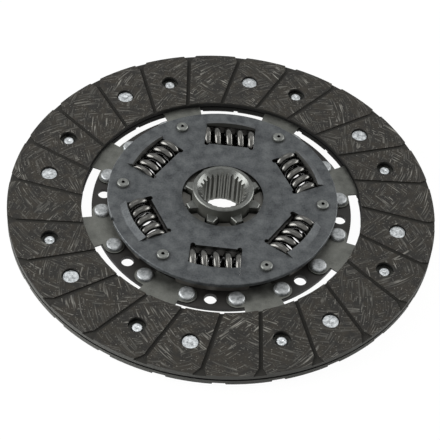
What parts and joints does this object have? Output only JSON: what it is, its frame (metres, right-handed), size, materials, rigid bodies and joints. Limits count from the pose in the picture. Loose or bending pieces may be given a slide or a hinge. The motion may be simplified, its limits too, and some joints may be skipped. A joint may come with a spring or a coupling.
{
  "type": "clutch disc",
  "caption": "Clutch disc with riveted friction linings, waved cushion segments, a torsion damper with coil springs between two plates, and a splined hub.",
  "frame": {"origin": "centre of the hub's rear end, the lowest point", "axes": "+Z along the hub axis towards the damper's cover plate; +X is an arbitrary radius, with the first spring window 30 degrees from it"},
  "size_m": [0.228, 0.228, 0.0227],
  "materials": {
    "lining": "matte",
    "segment_steel": "satin",
    "dark_plate": "satin",
    "cover_steel": "satin",
    "flange_steel": "satin",
    "hub_steel": "satin",
    "spring_steel": "gloss",
    "stop_steel": "satin",
    "rivet_zinc": "satin",
    "friction_plastic": "matte"
  },
  "bodies": {
    "plates": {"front_lining": "lining", "rear_lining": "lining", "cushion_segment_1": "segment_steel", "cushion_segment_2": "segment_steel", "cushion_segment_3": "segment_steel", "cushion_segment_4": "segment_steel", "cushion_segment_5": "segment_steel", "cushion_segment_6": "segment_steel", "cushion_segment_7": "segment_steel", "cushion_segment_8": "segment_steel", "driven_plate": "dark_plate", "cover_plate": "cover_steel", "friction_ring": "friction_plastic", "disc_spring": "spring_steel", "guide_bush": "friction_plastic", "stop_rivets": "stop_steel", "segment_rivets": "rivet_zinc", "front_lining_rivets": "rivet_zinc", "rear_lining_rivets": "rivet_zinc"},
    "flange": {"hub_flange": "flange_steel"},
    "hub": {"hub": "hub_steel"},
    "springs": {"damper_spring_1": "spring_steel", "damper_spring_2": "spring_steel", "damper_spring_3": "spring_steel", "damper_spring_4": "spring_steel", "damper_spring_5": "spring_steel", "damper_spring_6": "spring_steel"}
  },
  "joints": [
    {"name": "damper_twist", "type": "hinge", "parent": "plates", "child": "flange", "pos_m": [0, 0, 0.01153], "axis": [0, 0, 1], "range_deg": [-6, 6], "stiffness_Nm_per_rad": 600, "deforming": ["damper_spring_1", "damper_spring_2", "damper_spring_3", "damper_spring_4", "damper_spring_5", "damper_spring_6"]},
    {"name": "idle_twist", "type": "hinge", "parent": "flange", "child": "hub", "pos_m": [0, 0, 0.01153], "axis": [0, 0, 1], "range_deg": [-3, 3]},
    {"name": "spring_follow", "type": "hinge", "parent": "plates", "child": "springs", "pos_m": [0, 0, 0.01153], "axis": [0, 0, 1], "range_deg": [-3, 3]}
  ],
  "couplings": [
    {"joint": "spring_follow", "follows": "damper_twist", "ratio": 0.5}
  ]
}
